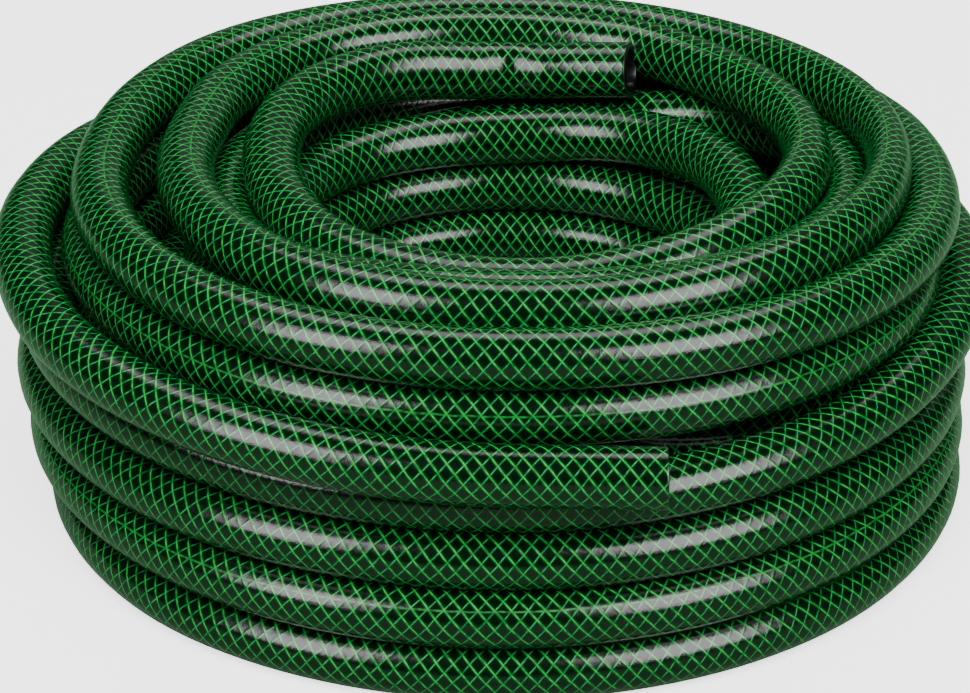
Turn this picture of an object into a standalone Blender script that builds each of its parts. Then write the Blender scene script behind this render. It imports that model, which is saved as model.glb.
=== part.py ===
# A coil of half-inch garden hose: the wound turns as one turned ring, and the two hose ends that lie in it.
# Metres, +Z up. The origin is the centre of the floor under the coil, and the coil's axis is Z.

import math

import bmesh
import bpy
from mathutils import Vector

# Section of the hose
hose_diameter = 0.0170
bore_diameter = 0.0127

# Section of the coil, from the clear radius of its open middle. The turns lie side by side, and stacked rows
# settle into each other a little.
eye_radius = 0.0590
row_nesting = 0.0003

# Outer rows from the floor up: how far each stands out past the outer top turn, and its rise in row pitches
outer_rows = ((0.0070, 0.0), (0.0080, 1.0), (0.0090, 1.0), (0.0080, 1.0), (0.0155, 0.75), (0.0, 0.70), (0.0, 0.97))
# Top turns from outside in: how far each rises above the outer one. The innermost also stands out a little.
top_turn_rises = (0.0065, 0.0022, -0.0022)
top_inner_outset = 0.0035

# Facets of the turned ring, and the least half-width of a groove between two turns
turn_facets = 10
ring_segments = 48
groove_angle = math.radians(27.0)
# Points of the section's outline lie at least this far apart, as a share of a facet and as a length
least_facet_share = 0.2
least_edge = 0.0002
# The innermost rows may be this share of a pitch short of the top turn
row_shortfall = 0.05

# Outer end of the hose: it leaves its row at the front of the coil and runs straight to its cut
outer_end_row = 4
outer_end_bend = math.radians(26.0)
outer_end_cut = 0.0400

# Inner end of the hose: its last bend, and its straight run across the back of the top layer to its cut
inner_end_drop = 0.0013
inner_end_reach = 0.0830
inner_end_bend_radius = 0.0480
inner_end_bend = math.radians(62.0)
inner_end_straight_start = -0.0200
inner_end_cut = 0.0370

# Room for the ends in the coil, which goes on past each cut
end_room = 0.0300
end_clearance = 0.0003
bend_point_spacing = 0.0130
straight_point_spacing = 0.0340
tube_bevel_resolution = 4
room_facets = 8

hose_radius = hose_diameter / 2.0
bore_radius = bore_diameter / 2.0
facet_half_angle = math.pi / turn_facets
facet_radius = hose_radius * 2.0 / (1.0 + math.cos(facet_half_angle))
rest_height = facet_radius * math.cos(facet_half_angle)

row_pitch = hose_diameter - row_nesting
column_pitch = hose_diameter
column_count = len(top_turn_rises) + 1
inner_turn_radius = eye_radius + hose_radius
outer_turn_radius = inner_turn_radius + (column_count - 1) * column_pitch
outer_row_radii = [outer_turn_radius + outset for outset, rise in outer_rows]
outer_row_heights = [rest_height + row_pitch * sum(rise for outset, rise in outer_rows[:row + 1])
                     for row in range(len(outer_rows))]
top_height = outer_row_heights[-1]
coil_top = top_height + max(top_turn_rises) + facet_radius
coil_reach = max(outer_row_radii) + facet_radius
outer_end_reach = outer_row_radii[outer_end_row]
outer_end_height = outer_row_heights[outer_end_row]
inner_end_height = top_height - inner_end_drop

hose_green = (0.012, 0.075, 0.022)
hose_roughness = 0.25
smoothing_angle = math.radians(40.0)


def remove_all_objects():
    for existing in list(bpy.data.objects):
        bpy.data.objects.remove(existing, do_unlink=True)


def hose_material(name):
    material = bpy.data.materials.new(name)
    material.use_nodes = True
    shader = material.node_tree.nodes["Principled BSDF"]
    shader.inputs["Base Color"].default_value = (*hose_green, 1.0)
    shader.inputs["Roughness"].default_value = hose_roughness
    shader.inputs["Metallic"].default_value = 0.0
    return material


def add_object(name, mesh, material=None):
    item = bpy.data.objects.new(name, mesh)
    bpy.context.scene.collection.objects.link(item)
    if material:
        mesh.materials.append(material)
    return item


def smooth_shading(mesh):
    mesh.shade_smooth()
    mesh.set_sharp_from_angle(angle=smoothing_angle)


def hide_cutter(item):
    item.hide_render = True
    item.display_type = "WIRE"


def cut_away(item, cutter):
    modifier = item.modifiers.new("cut_" + cutter.name, "BOOLEAN")
    modifier.operation = "DIFFERENCE"
    modifier.solver = "EXACT"
    modifier.object = cutter


# The turns round the edge of the section, counterclockwise from the lowest outer one, as (radius, height)
def edge_turns():
    outer = list(zip(outer_row_radii, outer_row_heights))
    top = [(outer_turn_radius - (index + 1) * column_pitch, top_height + rise)
           for index, rise in enumerate(top_turn_rises)]
    top[-1] = (top[-1][0] + top_inner_outset, top[-1][1])
    inner_row_count = math.floor((top[-1][1] - rest_height) / row_pitch + row_shortfall)
    inner = [(inner_turn_radius, rest_height + row * row_pitch) for row in range(inner_row_count - 1, -1, -1)]
    bottom = [(inner_turn_radius + (index + 1) * column_pitch, rest_height) for index in range(column_count - 1)]
    return outer + top + inner + bottom


def direction(start, end):
    return math.atan2(end[1] - start[1], end[0] - start[0])


# Angle at a turn's centre between its neighbour and the near edge of the groove between them
def groove_offset(turn, neighbour):
    half_distance = math.dist(turn, neighbour) / 2.0
    meeting = math.acos(min(1.0, half_distance / facet_radius))
    return max(meeting, groove_angle)


# The part of one turn's outline that shows between the grooves to the turns before and after it
def turn_arc(turn, before, after):
    start = direction(turn, before) + groove_offset(turn, before)
    end = direction(turn, after) - groove_offset(turn, after)
    while end <= start:
        end += math.tau
    step = 2.0 * facet_half_angle
    first_flat = -math.pi / 2.0 - facet_half_angle
    angles = [start]
    index = math.ceil((start - first_flat) / step)
    while first_flat + index * step < end:
        angle = first_flat + index * step
        if min(angle - start, end - angle) > step * least_facet_share:
            angles.append(angle)
        index += 1
    angles.append(end)
    return [(turn[0] + facet_radius * math.cos(angle), turn[1] + facet_radius * math.sin(angle)) for angle in angles]


def section_outline():
    turns = edge_turns()
    outline = []
    for index, turn in enumerate(turns):
        after = turns[(index + 1) % len(turns)]
        for point in turn_arc(turn, turns[index - 1], after):
            if not outline or math.dist(outline[-1], point) > least_edge:
                outline.append(point)
    if math.dist(outline[0], outline[-1]) < least_edge:
        outline.pop()
    return outline


# The wound turns: the scalloped section turned about Z
def make_coil(material):
    shape = bmesh.new()
    profile = [shape.verts.new((radius, 0.0, height)) for radius, height in section_outline()]
    edges = [shape.edges.new((profile[index - 1], profile[index])) for index in range(len(profile))]
    bmesh.ops.spin(shape, geom=profile + edges, cent=(0.0, 0.0, 0.0), axis=(0.0, 0.0, 1.0),
                   angle=math.tau, steps=ring_segments, use_merge=True)
    bmesh.ops.recalc_face_normals(shape, faces=shape.faces)
    mesh = bpy.data.meshes.new("hose_coil")
    shape.to_mesh(mesh)
    shape.free()
    smooth_shading(mesh)
    return add_object("hose_coil", mesh, material)


# Centre line of an end: round its last bend, then straight along +X to its cut. The side is -1 at the front
# of the coil and +1 at its back, and the reach is how far from the coil's axis the straight run lies.
def end_route(side, reach, height, bend_radius, bend, straight_start, cut):
    steps = max(2, round(bend_radius * bend / bend_point_spacing))
    route = []
    for step in range(steps):
        angle = bend * (1.0 - step / steps)
        along = straight_start - bend_radius * math.sin(angle)
        across = reach - bend_radius * (1.0 - math.cos(angle))
        route.append(Vector((along, side * across, height)))
    straight_steps = max(2, round((cut - straight_start) / straight_point_spacing))
    for step in range(straight_steps + 1):
        along = straight_start + (cut - straight_start) * step / straight_steps
        route.append(Vector((along, side * reach, height)))
    return route


# A round bar along a route, as a curve with a bevel and filled caps
def bar_mesh(name, route, radius):
    curve = bpy.data.curves.new(name + "_line", "CURVE")
    curve.dimensions = "3D"
    curve.twist_mode = "Z_UP"
    curve.bevel_depth = radius
    curve.bevel_resolution = tube_bevel_resolution
    curve.use_fill_caps = True
    spline = curve.splines.new("POLY")
    spline.points.add(len(route) - 1)
    for point, place in zip(spline.points, route):
        point.co = (*place, 1.0)
    line = bpy.data.objects.new(name + "_line", curve)
    bpy.context.scene.collection.objects.link(line)
    bpy.context.view_layer.update()
    evaluated = line.evaluated_get(bpy.context.evaluated_depsgraph_get())
    mesh = bpy.data.meshes.new_from_object(evaluated)
    mesh.name = name
    mesh.materials.clear()
    bpy.data.objects.remove(line, do_unlink=True)
    return mesh


# A bar of the hose with its bore cut right through
def make_end(name, route, material):
    tube = add_object(name, bar_mesh(name, route, hose_radius), material)
    first_run = (route[0] - route[1]).normalized()
    last_run = (route[-1] - route[-2]).normalized()
    bore_route = [route[0] + first_run * hose_radius] + route[1:-1] + [route[-1] + last_run * hose_radius]
    bore = add_object(name + "_bore", bar_mesh(name + "_bore", bore_route, bore_radius))
    hide_cutter(bore)
    cut_away(tube, bore)
    smooth_shading(tube.data)
    return tube


# Section of the room that an end lies in: half round, and open on one side up to the end of its walls, in a
# frame of (outward, up). The open side is 0 to open outwards and a quarter turn to open upwards.
def room_outline(open_side, wall):
    room_radius = (hose_radius + end_clearance) / math.cos(math.pi / (2.0 * room_facets))
    outline = []
    for step in range(room_facets + 1):
        angle = open_side + math.pi / 2.0 + math.pi * step / room_facets
        outline.append((room_radius * math.cos(angle), room_radius * math.sin(angle)))
    opening = (wall * math.cos(open_side), wall * math.sin(open_side))
    outline.append((outline[-1][0] + opening[0], outline[-1][1] + opening[1]))
    outline.append((outline[0][0] + opening[0], outline[0][1] + opening[1]))
    return outline


# A cutter of one outline swept along a level route
def make_room(name, route, side, outline):
    shape = bmesh.new()
    rings = []
    for index, place in enumerate(route):
        run = route[min(index + 1, len(route) - 1)] - route[max(index - 1, 0)]
        outward = Vector((-run.y, run.x, 0.0)).normalized() * side
        rings.append([shape.verts.new(place + outward * across + Vector((0.0, 0.0, up))) for across, up in outline])
    for near, far in zip(rings, rings[1:]):
        for index in range(len(outline)):
            shape.faces.new((near[index - 1], near[index], far[index], far[index - 1]))
    shape.faces.new(rings[0])
    shape.faces.new(rings[-1])
    bmesh.ops.recalc_face_normals(shape, faces=shape.faces)
    mesh = bpy.data.meshes.new(name)
    shape.to_mesh(mesh)
    shape.free()
    room = add_object(name, mesh)
    hide_cutter(room)
    return room


# One end of the hose, and the room cut for it in the coil, which starts one clearance before the tube
def fit_end(name, coil, side, reach, height, bend_radius, bend, straight_start, cut, open_side, wall):
    route = end_route(side, reach, height, bend_radius, bend, straight_start, cut)
    make_end(name, route, hose_material(name + "_green"))
    room_route = end_route(side, reach, height, bend_radius, bend + end_clearance / bend_radius, straight_start, cut)
    room_route.append(Vector((cut + end_room, side * reach, height)))
    cut_away(coil, make_room(name + "_room", room_route, side, room_outline(open_side, wall)))


remove_all_objects()
coil = make_coil(hose_material("hose_coil_green"))
fit_end("hose_outer_end", coil, -1.0, outer_end_reach, outer_end_height, outer_end_reach, outer_end_bend,
        0.0, outer_end_cut, 0.0, coil_reach - outer_end_reach + hose_radius)
fit_end("hose_inner_end", coil, 1.0, inner_end_reach, inner_end_height, inner_end_bend_radius, inner_end_bend,
        inner_end_straight_start, inner_end_cut, math.pi / 2.0, coil_top - inner_end_height + hose_radius)
bpy.context.view_layer.update()
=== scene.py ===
import math

import bpy
import numpy as np
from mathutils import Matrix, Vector


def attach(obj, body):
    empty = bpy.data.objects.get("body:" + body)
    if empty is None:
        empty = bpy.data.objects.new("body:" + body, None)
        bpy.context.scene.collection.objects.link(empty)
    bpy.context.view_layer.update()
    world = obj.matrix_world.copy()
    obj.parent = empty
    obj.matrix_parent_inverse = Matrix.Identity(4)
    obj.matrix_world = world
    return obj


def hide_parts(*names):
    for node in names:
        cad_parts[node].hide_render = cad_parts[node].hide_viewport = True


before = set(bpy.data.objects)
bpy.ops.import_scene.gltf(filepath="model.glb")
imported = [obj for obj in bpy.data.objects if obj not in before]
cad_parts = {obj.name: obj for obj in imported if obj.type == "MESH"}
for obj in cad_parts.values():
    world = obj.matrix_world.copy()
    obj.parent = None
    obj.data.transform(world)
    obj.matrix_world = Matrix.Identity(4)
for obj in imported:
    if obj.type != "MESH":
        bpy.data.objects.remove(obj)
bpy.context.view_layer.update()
mm = 0.001
tiny = 1e-6

view = {
    "imageWidth": 970,
    "focalPixels": 4150.0,
    "sensorWidth": 36.0,
    "place": (0.0, -1.0971, 0.5850),
    "pitchDown": 26.24,
    "turnLeft": 0.366,
    "clipNear": 0.05,
    "clipFar": 50.0,
}


def makeCamera():
    camera = bpy.data.cameras.new("photoCamera")
    camera.sensor_width = view["sensorWidth"]
    camera.lens = view["focalPixels"] / view["imageWidth"] * view["sensorWidth"]
    camera.clip_start = view["clipNear"]
    camera.clip_end = view["clipFar"]
    item = bpy.data.objects.new("photoCamera", camera)
    bpy.context.scene.collection.objects.link(item)
    pitch = math.radians(view["pitchDown"])
    turn = math.radians(view["turnLeft"])
    looking = Vector((-math.sin(turn) * math.cos(pitch), math.cos(turn) * math.cos(pitch), -math.sin(pitch)))
    item.location = view["place"]
    item.rotation_mode = "QUATERNION"
    item.rotation_quaternion = looking.to_track_quat("-Z", "Y")
    bpy.context.scene.camera = item


makeCamera()
print("camera ready")


# Each turn starts at the back of the coil and goes round by the left, the front and the right.
# A stop on a turn is (degrees round from the back, distance from the coil's axis, height), in millimetres.
hose = {
    "diameter": 17.0,
    "bore": 12.7,
    "length": 15.0,  # metres
    "sides": 24,
    "fineDegrees": 0.5,
    "fineSpacing": 2.0,
    "keepEvery": 3,
    "fineStart": 130.0,
    "boreEvery": 3,
    "smoothRounds": 12,
    "cutEdge": 0.25,
    "firstRing": 0.75,
}
# How turns that run through each other are pushed apart, and pulled back to their stops, in each round
settling = {
    "samplesPerTurn": 48,
    "rounds": 240,
    "closest": 16.9,
    "push": 0.5,
    "straighten": 0.3,
    "pull": 0.02,
    "firmPull": 0.3,
}

topTurns = (
    # the free inner end, and the first turn round the open middle
    ((-26.2, 83.8, 101.3), (-18.4, 82.2, 100.1), (-11.2, 82.1, 98.9), (-5.5, 82.8, 98.0), (0, 83.2, 97.7),
     (5.5, 82.8, 98.0), (9.8, 82.4, 98.6), (14.2, 81.8, 99.4), (21, 81.1, 100.7), (28.2, 80.6, 101.6),
     (39.6, 80.0, 102.1), (51, 78.4, 101.9), (63, 75.6, 101.2), (75, 72.0, 100.3), (90, 68.6, 99.0),
     (110, 66.6, 97.8), (135, 67.5, 96.8), (180, 70.5, 96.6), (225, 77.0, 99.5), (270, 86.0, 103.0),
     (319, 93.3, 102.7), (335, 98.0, 102.5)),
    # one turn further out, then the outermost one of the top
    ((0, 100.5, 102.3), (20, 102.6, 102.8), (36, 103.4, 103.0), (52, 100.7, 103.0), (63, 98.2, 103.0),
     (75, 94.4, 103.0), (90, 93.5, 103.2), (110, 94.0, 103.8), (135, 97.6, 104.6), (180, 102.6, 105.3),
     (225, 106.0, 105.3), (270, 109.6, 104.0), (318, 113.2, 101.5), (335, 115.5, 101.0)),
    ((0, 118.0, 100.4), (46, 121.7, 101.3), (63, 120.3, 100.8), (90, 118.1, 98.8), (135, 118.3, 98.8),
     (180, 118.5, 98.8), (225, 120.0, 97.0), (270, 121.5, 93.8), (298, 123.5, 93.0), (330, 124.0, 87.0)),
    # the turn under it, which crosses inwards at the back
    ((0, 122.0, 83.0), (45, 121.0, 82.5), (90, 121.5, 81.5), (135, 118.5, 82.0), (180, 118.0, 82.4),
     (225, 118.0, 80.0), (270, 118.0, 77.0), (315, 115.0, 76.0)),
    # comes up between the first two at the left, and goes down between them at the right
    ((0, 104.0, 80.5), (45, 90.0, 85.0), (90, 82.0, 88.0), (135, 83.0, 96.0), (180, 86.5, 101.0),
     (225, 92.0, 99.0), (270, 98.0, 95.5), (297, 100.0, 92.0), (318, 97.0, 87.0), (342, 87.5, 80.5)),
    # runs under them, and climbs inwards to the top of the inner wall
    ((0, 86.5, 77.5), (30, 87.0, 76.0), (60, 86.5, 75.2), (90, 86.0, 75.0), (135, 85.0, 74.5), (180, 84.0, 75.5),
     (225, 77.0, 80.0), (262, 70.0, 87.0)),
)

# The inner wall from the top down. Each level runs from the right, round the back, to the left.
innerWall = (
    ((-78, 68.5, 89.5), (-60, 70.0, 88.7), (-40, 71.2, 86.5), (-20, 70.8, 84.0), (0, 69.8, 81.4), (25, 70.5, 81.2),
     (45, 71.5, 81.3), (70, 71.5, 80.6), (95, 69.5, 79.3)),
    ((-75, 72.0, 66.0), (0, 72.6, 64.9), (75, 72.0, 64.5)),
    ((-75, 71.0, 48.6), (0, 71.0, 48.2), (75, 71.0, 47.6), (180, 67.5, 38.5)),
    ((-75, 68.5, 29.5), (0, 68.5, 29.0), (75, 68.5, 28.6)),
    ((-75, 68.0, 8.5), (75, 68.0, 8.5)),
)

# Hidden turns: the distance from the axis and the height of each level, at each of the angles
columnAngles = (-75, 0, 75)
innerColumn = ((85.5, 8.5), (85.5, 25.0), (85.5, 41.5), (85.5, 58.0))
outerColumn = ((118.0, 65.5), (105.0, 56.0), (105.0, 41.0), (105.0, 25.2), (105.0, 8.5))

# Outermost turns from the floor up, then the last part with the free outer end
outerTurns = (
    ((80, 127.4, 8.5), (130, 127.4, 8.5), (155, 126.2, 8.5), (180, 124.8, 8.5), (205, 123.2, 8.5),
     (240, 122.6, 8.5), (280, 125.0, 8.5)),
    ((80, 133.6, 25.2), (130, 129.2, 25.1), (180, 126.4, 25.0), (230, 124.8, 25.0), (260, 125.4, 25.0),
     (290, 126.8, 25.0)),
    ((80, 137.0, 43.4), (130, 129.5, 42.0), (180, 123.9, 41.7), (230, 124.2, 41.8), (260, 125.4, 41.8),
     (290, 127.2, 41.8)),
    ((55, 133.5, 62.5), (78, 135.5, 65.5), (94, 134.5, 63.5), (112, 132.6, 62.4),
     (126, 130.4, 61.4), (145, 125.5, 59.0), (180, 122.0, 58.5), (220, 124.0, 60.0),
     (250, 128.5, 66.0), (280, 131.5, 72.0), (320, 131.5, 72.0)),
)
lastTurn = ((0, 131.5, 71.0), (40, 134.0, 77.0), (72, 138.8, 83.0), (92, 140.8, 82.5), (112, 140.9, 79.8),
            (140, 137.2, 75.8), (160, 134.6, 73.6), (172, 134.0, 72.8), (180, 134.0, 72.4), (185, 134.5, 72.2),
            (190, 136.1, 72.0), (193, 137.5, 71.9), (196, 139.4, 71.8), (197.4, 140.4, 71.8))

# How firmly stretches of the hose keep to their stops: (from turn, to turn, firmness). A later row overrules.
looseFirmness = 0.25
firmStretches = (
    (-1.0, 3.0, 0.9),
    (3.0, 5.0, 0.6),
    (20.2, 22.2, 0.7),
    (22.2, 25.0, 0.9),
    (-1.0, 0.25, 1.0),
    (24.2, 25.0, 1.0),
)
# The back of the inner wall, which shows through the eye
wallBack = {"from": 5.7, "to": 8.5, "halfSpan": 0.21, "firmness": 0.85}

# Where turns press on each other, the hose is a little oval: (turns from the inner end, half span, across, tall)
pressed = (
    (0.06, 0.07, 0.88, 1.10),
    (0.75, 0.13, 0.86, 1.08),
    (1.75, 0.13, 0.78, 1.12),
    (4.75, 0.10, 0.86, 1.08),
)
# The hose twists as it is wound, and its long yarn with it: (turns from the inner end, share of a full twist)
twistStops = (
    (-0.1, 0.64), (0.1, 0.61), (0.3, 0.46), (0.5, 0.285), (0.75, 0.30), (1.0, 0.33), (1.25, 0.295), (1.5, 0.26),
    (2.0, 0.30), (2.5, 0.26), (3.1, 0.12), (3.5, 0.07), (4.2, 0.14), (5.0, 0.45), (5.8, 0.62), (6.0, 0.64),
    (6.2, 0.63), (8.0, 0.85), (12.0, 0.40), (19.0, 0.30), (20.5, 0.20), (21.3, 0.10), (21.7, 0.13), (22.5, -0.25),
    (23.5, -0.30), (24.6, -0.22),
)
# The dent in the inner end: lengths along X and into the skin, in millimetres
dent = {
    "untilTurn": 0.1,
    "middle": -0.5,
    "crease": 6.5,
    "depth": 2.3,
    "shoulder": 12.0,
    "shoulderWidth": 6.0,
    "rise": 0.5,
    "facing": (0.0, -0.98, 0.18),
    "spread": 2,
}


# Turns of a hidden column: each level goes round the back and steps to the next one at the front
def columnStops(column, firstTurn):
    return [(360 * (firstTurn + level) + angle, radius, height)
            for level, (radius, height) in enumerate(column) for angle in columnAngles]


def turnStops(turns, firstTurn):
    return [(360 * (firstTurn + index) + angle, radius, height)
            for index, places in enumerate(turns) for angle, radius, height in places]


# All stops from the inner end to the outer one
def windingStops():
    stops = turnStops(topTurns + innerWall, 0)
    turn = len(topTurns) + len(innerWall)
    for column in (innerColumn, outerColumn):
        stops += columnStops(column, turn)
        turn += len(column)
    stops += turnStops(outerTurns + (lastTurn,), turn)
    return np.array(stops, float)


# Smooth values between stops, with slopes that never overshoot
def smoothBetween(where, stops, values):
    gaps = np.diff(stops)
    rises = np.diff(values) / gaps
    slopes = np.zeros(len(stops))
    slopes[0], slopes[-1] = rises[0], rises[-1]
    for index in range(1, len(stops) - 1):
        before, after = rises[index - 1], rises[index]
        if before * after > 0.0:
            near, far = gaps[index - 1] + 2.0 * gaps[index], 2.0 * gaps[index - 1] + gaps[index]
            slopes[index] = (near + far) / (near / before + far / after)
    piece = np.clip(np.searchsorted(stops, where) - 1, 0, len(gaps) - 1)
    share = (where - stops[piece]) / gaps[piece]
    square, cube = share ** 2, share ** 3
    return ((2 * cube - 3 * square + 1) * values[piece] + (cube - 2 * square + share) * gaps[piece] * slopes[piece]
            + (3 * square - 2 * cube) * values[piece + 1] + (cube - square) * gaps[piece] * slopes[piece + 1])


# Pushes turns apart where they would run through each other, the hidden ones more than those that show
def settle(angles, radii, heights, firmness):
    perTurn = settling["samplesPerTurn"]
    closest = settling["closest"]
    floorHeight = hose["diameter"] / 2.0
    first = int(round(angles[0] / (360.0 / perTurn)))
    slot = (np.arange(len(angles)) + first) % perTurn
    turns = int(math.ceil(len(angles) / perTurn)) + 2
    row = (np.arange(len(angles)) + first % perTurn) // perTurn
    present = np.zeros((turns, perTurn), bool)
    present[row, slot] = True
    give = np.ones((turns, perTurn))
    give[row, slot] = 1.0 - firmness
    place = np.zeros((turns, perTurn, 2))
    wanted = np.stack([radii, heights], 1)
    line = wanted.copy()
    for _ in range(settling["rounds"]):
        place[row, slot] = line
        apart = place[:, None] - place[None]
        distance = np.linalg.norm(apart, axis=3)
        close = present[:, None] & present[None] & (distance < closest) & (distance > tiny)
        share = give[:, None] / (give[:, None] + give[None] + tiny)
        push = np.where(close, (closest - distance) * share, 0.0)
        move = (apart / np.maximum(distance, tiny)[..., None] * push[..., None]).sum(1)
        line = line + settling["push"] * move[row, slot]
        middle = line.copy()
        middle[1:-1] = (line[:-2] + line[2:]) / 2.0
        loose = (1.0 - firmness)[:, None]
        line = line + settling["straighten"] * loose * (middle - line)
        line = line + (settling["pull"] + settling["firmPull"] * firmness[:, None]) * (wanted - line)
        line[:, 1] = np.maximum(line[:, 1], floorHeight)
    return line[:, 0], line[:, 1]


def firmnessAt(turnAt):
    firmness = np.full(len(turnAt), looseFirmness)
    for start, end, firm in firmStretches:
        firmness[(turnAt >= start) & (turnAt < end)] = firm
    atBack = np.abs(turnAt - np.round(turnAt)) < wallBack["halfSpan"]
    firmness[(turnAt > wallBack["from"]) & (turnAt < wallBack["to"]) & atBack] = wallBack["firmness"]
    return firmness


# Centre line of the whole hose: settled stops, then points evenly spaced along it, in metres
def hoseLine():
    stops = windingStops()
    step = 360.0 / settling["samplesPerTurn"]
    first = math.ceil(stops[0, 0] / step)
    last = math.floor(stops[-1, 0] / step)
    angles = np.arange(first, last + 1) * step
    radii = smoothBetween(angles, stops[:, 0], stops[:, 1])
    heights = smoothBetween(angles, stops[:, 0], stops[:, 2])
    radii, heights = settle(angles, radii, heights, firmnessAt(angles / 360.0))
    angles = np.concatenate([[stops[0, 0]], angles, [stops[-1, 0]]])
    radii = np.concatenate([[stops[0, 1]], radii, [stops[-1, 1]]])
    heights = np.concatenate([[stops[0, 2]], heights, [stops[-1, 2]]])
    fine = np.linspace(angles[0], angles[-1], int((angles[-1] - angles[0]) / hose["fineDegrees"]))
    fineRadii = smoothBetween(fine, angles, radii)
    fineHeights = smoothBetween(fine, angles, heights)
    turned = np.radians(fine)
    line = np.stack([-fineRadii * np.sin(turned), fineRadii * np.cos(turned), fineHeights], 1)
    along = np.concatenate([[0.0], np.cumsum(np.linalg.norm(np.diff(line, axis=0), axis=1))])
    count = int(round(along[-1] / hose["fineSpacing"]))
    even = np.linspace(0.0, along[-1], count + 1)
    points = np.stack([np.interp(even, along, line[:, axis]) for axis in range(3)], 1)
    for _ in range(hose["smoothRounds"]):
        points[1:-1] = (points[:-2] + 2.0 * points[1:-1] + points[2:]) / 4.0
    kept = [index for index in range(count + 1)
            if index % hose["keepEvery"] == 0 or even[index] < hose["fineStart"] or index == count]
    print("hose line", round(along[-1] * mm, 3), "m in", len(kept), "rings")
    return points[kept] * mm, even[kept] * mm, np.interp(even[kept], along, fine) / 360.0


# The pitch is in millimetres. Widths are shares of the distance between two yarns, from full strength to none.
braid = {
    "yarnsEachWay": 10,
    "pitch": 4.3,
    "tileYarns": 10,
    "cutWidth": 0.02,
    "waverScale": 9.0,
    "waverDetail": 1.0,
    "waver": 0.16,
    "longWaver": 0.012,
    "patchScale": 26.0,
    "patchDetail": 3.0,
    "patchFrom": 0.34,
    "patchTo": 0.64,
    "patchLeast": 0.25,
    "rightWidth": (0.020, 0.088),
    "leftWidth": (0.016, 0.078),
    "longWidth": (0.0025, 0.0075),  # shares of the way round
    "underWidth": (0.05, 0.18),
    "underShade": 0.5,
    "rightGlow": (0.0, 0.28),
    "leftGlow": (0.0, 0.22),
    "leftGlowShare": 0.6,
    "raised": (0.0, 0.30),
    "scuffScale": 120.0,
    "scuffDetail": 2.0,
    "scuffs": 1.6,
}


def ringFrames(points):
    run = np.gradient(points, axis=0)
    run /= np.linalg.norm(run, axis=1)[:, None]
    side = np.cross(run, (0.0, 0.0, 1.0))
    side /= np.linalg.norm(side, axis=1)[:, None]
    rise = np.cross(side, run)
    return run, side, rise


# How wide and how tall the hose is at each ring, as shares of its diameter
def ovalShares(turnAt):
    across, tall = np.ones(len(turnAt)), np.ones(len(turnAt))
    for middle, span, wide, high in pressed:
        bell = np.exp(-((turnAt - middle) / span) ** 2)
        across += (wide - 1.0) * bell
        tall += (high - 1.0) * bell
    return across, tall


# A short crease in the side of the inner end that faces the front
def dented(ring, centre, radius):
    away = centre[0] / mm - dent["middle"]
    pushIn = dent["depth"] * math.exp(-(away / dent["crease"]) ** 2)
    pushOut = dent["rise"] * math.exp(-((abs(away) - dent["shoulder"]) / dent["shoulderWidth"]) ** 2)
    outward = (ring - centre) / radius
    facing = np.clip(outward @ np.array(dent["facing"]), 0.0, 1.0) ** dent["spread"]
    return ring - outward * ((pushIn - pushOut) * mm * facing)[:, None]


# Rings of points round the line: the outer skin, a cut face at each end, and the bore right through
def makeHose(points, along, turnAt):
    across, tall = ovalShares(turnAt)
    sides = hose["sides"]
    skin = hose["diameter"] / 2.0 * mm
    bore = hose["bore"] / 2.0 * mm
    edge = hose["cutEdge"] * mm
    nearEdge = hose["firstRing"] * mm
    run, side, rise = ringFrames(points)
    last = len(points) - 1
    boreRings = list(range(0, last, hose["boreEvery"])) + [last]
    rings = [(0, edge, skin), (0, nearEdge, skin)] + [(index, 0.0, skin) for index in range(1, last)]
    rings += [(last, -nearEdge, skin), (last, -edge, skin)]
    loop = [(0, 0.0, skin - edge)] + rings + [(last, 0.0, skin - edge)]
    loop += [(last, 0.0, bore + edge), (last, -edge, bore)]
    loop += [(index, 0.0, bore) for index in reversed(boreRings[1:-1])]
    loop += [(0, edge, bore), (0, 0.0, bore + edge)]
    turn = np.arange(sides) / sides * math.tau
    vertices = []
    for index, shift, radius in loop:
        centre = points[index] + run[index] * shift
        ring = centre + radius * (across[index] * np.cos(turn)[:, None] * side[index]
                                  + tall[index] * np.sin(turn)[:, None] * rise[index])
        if turnAt[index] < dent["untilTurn"]:
            ring = dented(ring, centre, radius)
        vertices.append(ring)
    vertices = np.concatenate(vertices)
    count = len(loop)
    faces, kinds, corners = [], [], []
    tile = braid["tileYarns"] * braid["pitch"] * mm
    twist = smoothBetween(turnAt, *np.array(twistStops).T)
    skinRings = len(rings)
    for ring in range(count):
        after = (ring + 1) % count
        onSkin = 1 <= ring < skinRings
        inBore = ring > skinRings + 2 and after != 0
        kind = 0 if onSkin else (2 if inBore else 1)  # skin, cut face or bore
        for step in range(sides):
            stepAfter = (step + 1) % sides
            faces.append((ring * sides + step, after * sides + step, after * sides + stepAfter,
                          ring * sides + stepAfter))
            kinds.append(kind)
            start = (along[loop[ring][0]] + loop[ring][1]) / tile + braid["cutWidth"] * (kind == 1)
            end = (along[loop[after][0]] + loop[after][1]) / tile
            low, high = step / sides - twist[loop[ring][0]], step / sides - twist[loop[after][0]]
            wide = 1.0 / sides
            corners += [(start, low), (end, high), (end, high + wide), (start, low + wide)]
    mesh = bpy.data.meshes.new("hose")
    mesh.from_pydata(vertices.tolist(), [], faces)
    layer = mesh.uv_layers.new(name="OFBake")
    layer.data.foreach_set("uv", np.array(corners, np.float32).ravel())
    mesh.polygons.foreach_set("material_index", kinds)
    mesh.validate()
    mesh.shade_smooth()
    item = bpy.data.objects.new("hose", mesh)
    bpy.context.scene.collection.objects.link(item)
    return item


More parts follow.
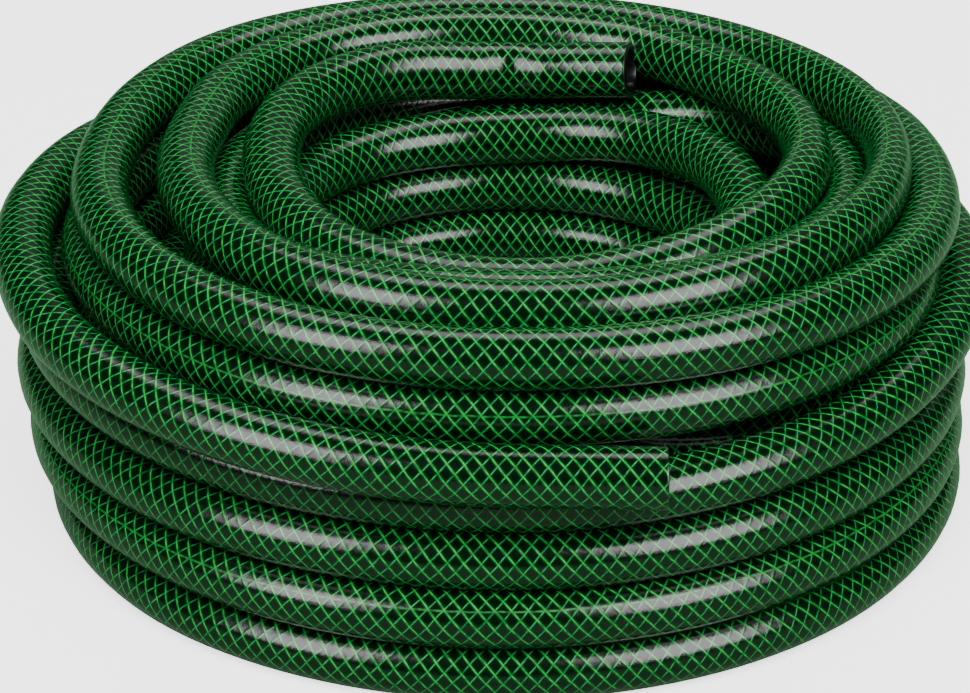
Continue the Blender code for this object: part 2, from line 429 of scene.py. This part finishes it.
linePoints, lineAlong, lineTurns = hoseLine()
hosePiece = makeHose(linePoints, lineAlong, lineTurns)
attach(hosePiece, "root")
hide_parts("hose_coil", "hose_inner_end", "hose_outer_end")
print("hose wound")


def newMaterial(name):
    material = bpy.data.materials.new(name)
    material.use_nodes = True
    tree = material.node_tree
    return material, tree, tree.nodes["Principled BSDF"]


def addMath(tree, operation, first, second=None, third=None):
    node = tree.nodes.new("ShaderNodeMath")
    node.operation = operation
    for slot, value in enumerate((first, second, third)):
        if value is None:
            continue
        if isinstance(value, (int, float)):
            node.inputs[slot].default_value = value
        else:
            tree.links.new(value, node.inputs[slot])
    return node.outputs[0]


# Distance from the nearest whole number, 0 on it and 0.5 half way between two
def nearWhole(tree, value):
    return addMath(tree, "PINGPONG", value, 0.5)


# A smooth step from the value before at one end of a range to the value after at its other end
def smoothRange(tree, value, start, end, before, after):
    node = tree.nodes.new("ShaderNodeMapRange")
    node.interpolation_type = "SMOOTHSTEP"
    tree.links.new(value, node.inputs["Value"])
    for name, amount in (("From Min", start), ("From Max", end), ("To Min", before), ("To Max", after)):
        node.inputs[name].default_value = amount
    return node.outputs["Result"]


def addNoise(tree, place, scale, detail):
    node = tree.nodes.new("ShaderNodeTexNoise")
    node.inputs["Scale"].default_value = scale
    node.inputs["Detail"].default_value = detail
    tree.links.new(place, node.inputs["Vector"])
    return node.outputs[0]


# 1 on a yarn, falling to 0 beside it
def yarnMask(tree, away, width):
    return smoothRange(tree, away, width[0], width[1], 1.0, 0.0)


# Two sets of yarn, wound opposite ways round the hose, and one yarn that runs along it
def braidGroup():
    tree = bpy.data.node_groups.new("braidYarns", "ShaderNodeTree")
    tree.interface.new_socket("Place", in_out="INPUT", socket_type="NodeSocketVector")
    for name in ("Right Yarn", "Left Yarn", "Long Yarn", "Glow", "Relief"):
        tree.interface.new_socket(name, in_out="OUTPUT", socket_type="NodeSocketFloat")
    inside = tree.nodes.new("NodeGroupInput")
    outside = tree.nodes.new("NodeGroupOutput")
    split = tree.nodes.new("ShaderNodeSeparateXYZ")
    tree.links.new(inside.outputs["Place"], split.inputs[0])
    place = inside.outputs["Place"]
    waver = addNoise(tree, place, braid["waverScale"], braid["waverDetail"])
    drift = addMath(tree, "MULTIPLY_ADD", waver, braid["waver"], -braid["waver"] / 2.0)
    along = addMath(tree, "MULTIPLY", split.outputs["X"], float(braid["tileYarns"]))
    around = addMath(tree, "MULTIPLY", split.outputs["Y"], float(braid["yarnsEachWay"]))
    rightPlace = addMath(tree, "ADD", addMath(tree, "ADD", around, along), drift)
    leftPlace = addMath(tree, "SUBTRACT", addMath(tree, "SUBTRACT", around, along), drift)
    rightAway = nearWhole(tree, rightPlace)
    leftAway = nearWhole(tree, leftPlace)
    # yarns are brighter in some places than in others
    patchy = smoothRange(tree, addNoise(tree, place, braid["patchScale"], braid["patchDetail"]),
                         braid["patchFrom"], braid["patchTo"], braid["patchLeast"], 1.0)
    right = addMath(tree, "MULTIPLY", yarnMask(tree, rightAway, braid["rightWidth"]), patchy)
    # the left yarns are darker where they pass under the right ones
    under = smoothRange(tree, rightAway, *braid["underWidth"], braid["underShade"], 0.0)
    left = addMath(tree, "MULTIPLY", yarnMask(tree, leftAway, braid["leftWidth"]),
                   addMath(tree, "SUBTRACT", 1.0, under))
    left = addMath(tree, "MULTIPLY", left, patchy)
    longAway = nearWhole(tree, addMath(tree, "MULTIPLY_ADD", waver, braid["longWaver"], split.outputs["Y"]))
    longYarn = addMath(tree, "MULTIPLY", yarnMask(tree, longAway, braid["longWidth"]), patchy)
    # light that the yarns let into the clear skin round them
    leftGlow = addMath(tree, "MULTIPLY", yarnMask(tree, leftAway, braid["leftGlow"]), braid["leftGlowShare"])
    glow = addMath(tree, "MAXIMUM", yarnMask(tree, rightAway, braid["rightGlow"]), leftGlow)
    relief = addMath(tree, "MAXIMUM", yarnMask(tree, rightAway, braid["raised"]),
                     yarnMask(tree, leftAway, braid["raised"]))
    scuffs = addNoise(tree, place, braid["scuffScale"], braid["scuffDetail"])
    relief = addMath(tree, "MULTIPLY_ADD", scuffs, braid["scuffs"], relief)
    tree.links.new(right, outside.inputs["Right Yarn"])
    tree.links.new(left, outside.inputs["Left Yarn"])
    tree.links.new(longYarn, outside.inputs["Long Yarn"])
    tree.links.new(glow, outside.inputs["Glow"])
    tree.links.new(relief, outside.inputs["Relief"])
    return tree


skinLook = {
    "deep": (0.0002, 0.0060, 0.0014, 1.0),
    "glow": (0.0006, 0.0640, 0.0090, 1.0),
    "rightYarn": (0.034, 0.45, 0.068, 1.0),
    "leftYarn": (0.018, 0.33, 0.085, 1.0),
    "longYarn": (0.012, 0.21, 0.030, 1.0),
    "roughness": 0.145,
    "relief": 0.08,
    "reliefDistance": 0.0004,
}
cutLook = {"colour": (0.004, 0.006, 0.004, 1.0), "roughness": 0.3}
boreLook = {"colour": (0.002, 0.002, 0.002, 1.0), "roughness": 0.25}


def mixColour(tree, factor, first, second):
    node = tree.nodes.new("ShaderNodeMix")
    node.data_type = "RGBA"
    tree.links.new(factor, node.inputs[0])
    for slot, value in ((6, first), (7, second)):
        if isinstance(value, tuple):
            node.inputs[slot].default_value = value
        else:
            tree.links.new(value, node.inputs[slot])
    return node.outputs[2]


def skinMaterial(group):
    material, tree, shader = newMaterial("hoseSkin")
    place = tree.nodes.new("ShaderNodeUVMap")
    place.uv_map = "OFBake"
    yarns = tree.nodes.new("ShaderNodeGroup")
    yarns.node_tree = group
    tree.links.new(place.outputs[0], yarns.inputs["Place"])
    colour = mixColour(tree, yarns.outputs["Glow"], skinLook["deep"], skinLook["glow"])
    colour = mixColour(tree, yarns.outputs["Left Yarn"], colour, skinLook["leftYarn"])
    colour = mixColour(tree, yarns.outputs["Right Yarn"], colour, skinLook["rightYarn"])
    colour = mixColour(tree, yarns.outputs["Long Yarn"], colour, skinLook["longYarn"])
    tree.links.new(colour, shader.inputs["Base Color"])
    bump = tree.nodes.new("ShaderNodeBump")
    bump.inputs["Strength"].default_value = skinLook["relief"]
    bump.inputs["Distance"].default_value = skinLook["reliefDistance"]
    tree.links.new(yarns.outputs["Relief"], bump.inputs["Height"])
    tree.links.new(bump.outputs[0], shader.inputs["Normal"])
    shader.inputs["Roughness"].default_value = skinLook["roughness"]
    return material


def plainMaterial(name, look):
    material, _, shader = newMaterial(name)
    shader.inputs["Base Color"].default_value = look["colour"]
    shader.inputs["Roughness"].default_value = look["roughness"]
    return material


yarnGroup = braidGroup()
hosePiece.data.materials.append(skinMaterial(yarnGroup))
hosePiece.data.materials.append(plainMaterial("hoseCut", cutLook))
hosePiece.data.materials.append(plainMaterial("hoseBore", boreLook))
print("materials ready")


stage = {
    "floorSize": 8.0,
    "floorColour": (0.92, 0.92, 0.92, 1.0),
    "floorInGloss": (0.17, 0.34, 0.19, 1.0),
    "floorInDiffuse": (0.22, 0.24, 0.22, 1.0),
    "floorGlow": 2.2,
    "floorRoughness": 0.8,
    "lampsFace": (0.0, 0.0, 0.06),
    "panelTint": (0.65, 1.0, 0.70),
    "worldColour": (0.04, 0.07, 0.045, 1.0),
}

lamps = {
    # name: (angle round from the front, angle up, distance, width, height, brightness,
    #        whether it shows in gloss, whether it lights matt surfaces)
    "softLeft": (-48, 30, 1.6, 0.68, 1.05, 9.4, True, False),
    "softRight": (45.5, 30, 1.6, 0.92, 1.05, 9.4, True, False),
    "topStrip": (180, 68, 1.5, 1.60, 0.60, 3.5, True, True),
    "backPanel": (165, 22, 2.4, 2.60, 1.60, 0.25, True, True),
    "fill": (0, 50, 2.2, 1.80, 1.20, 13.0, False, True),
}


# Pale where it is seen, and darker in the gloss of the hose and in the light that it throws back
def floorMaterial():
    material, tree, shader = newMaterial("paleFloor")
    rays = tree.nodes.new("ShaderNodeLightPath")
    colour = mixColour(tree, rays.outputs["Is Glossy Ray"], stage["floorColour"], stage["floorInGloss"])
    colour = mixColour(tree, rays.outputs["Is Diffuse Ray"], colour, stage["floorInDiffuse"])
    tree.links.new(colour, shader.inputs["Base Color"])
    shader.inputs["Emission Color"].default_value = (1.0, 1.0, 1.0, 1.0)
    tree.links.new(addMath(tree, "MULTIPLY", rays.outputs["Is Camera Ray"], stage["floorGlow"]),
                   shader.inputs["Emission Strength"])
    shader.inputs["Roughness"].default_value = stage["floorRoughness"]
    shader.inputs["Specular IOR Level"].default_value = 0.0
    return material


def makeStage():
    half = stage["floorSize"] / 2.0
    mesh = bpy.data.meshes.new("floor")
    mesh.from_pydata([(-half, -half, 0.0), (half, -half, 0.0), (half, half, 0.0), (-half, half, 0.0)], [],
                     [(0, 1, 2, 3)])
    mesh.materials.append(floorMaterial())
    floor = bpy.data.objects.new("floor", mesh)
    bpy.context.scene.collection.objects.link(floor)
    world = bpy.data.worlds.new("studio")
    world.use_nodes = True
    world.node_tree.nodes["Background"].inputs["Color"].default_value = stage["worldColour"]
    bpy.context.scene.world = world


def makeLamps():
    middle = Vector(stage["lampsFace"])
    for name, values in lamps.items():
        compass, lift, distance, width, height, brightness, inGloss, inDiffuse = values
        around, up = math.radians(compass), math.radians(lift)
        away = Vector((math.sin(around) * math.cos(up), -math.cos(around) * math.cos(up), math.sin(up)))
        light = bpy.data.lights.new(name, "AREA")
        light.shape = "RECTANGLE"
        light.size = width
        light.size_y = height
        light.energy = brightness * math.pi * width * height
        light.color = stage["panelTint"] if name == "backPanel" else (1.0, 1.0, 1.0)
        item = bpy.data.objects.new(name, light)
        item.location = middle + away * distance
        item.rotation_mode = "QUATERNION"
        item.rotation_quaternion = (-away).to_track_quat("-Z", "Y")
        item.visible_camera = False
        item.visible_glossy = inGloss
        item.visible_diffuse = inDiffuse
        bpy.context.scene.collection.objects.link(item)


makeStage()
makeLamps()
print("floor and light ready")
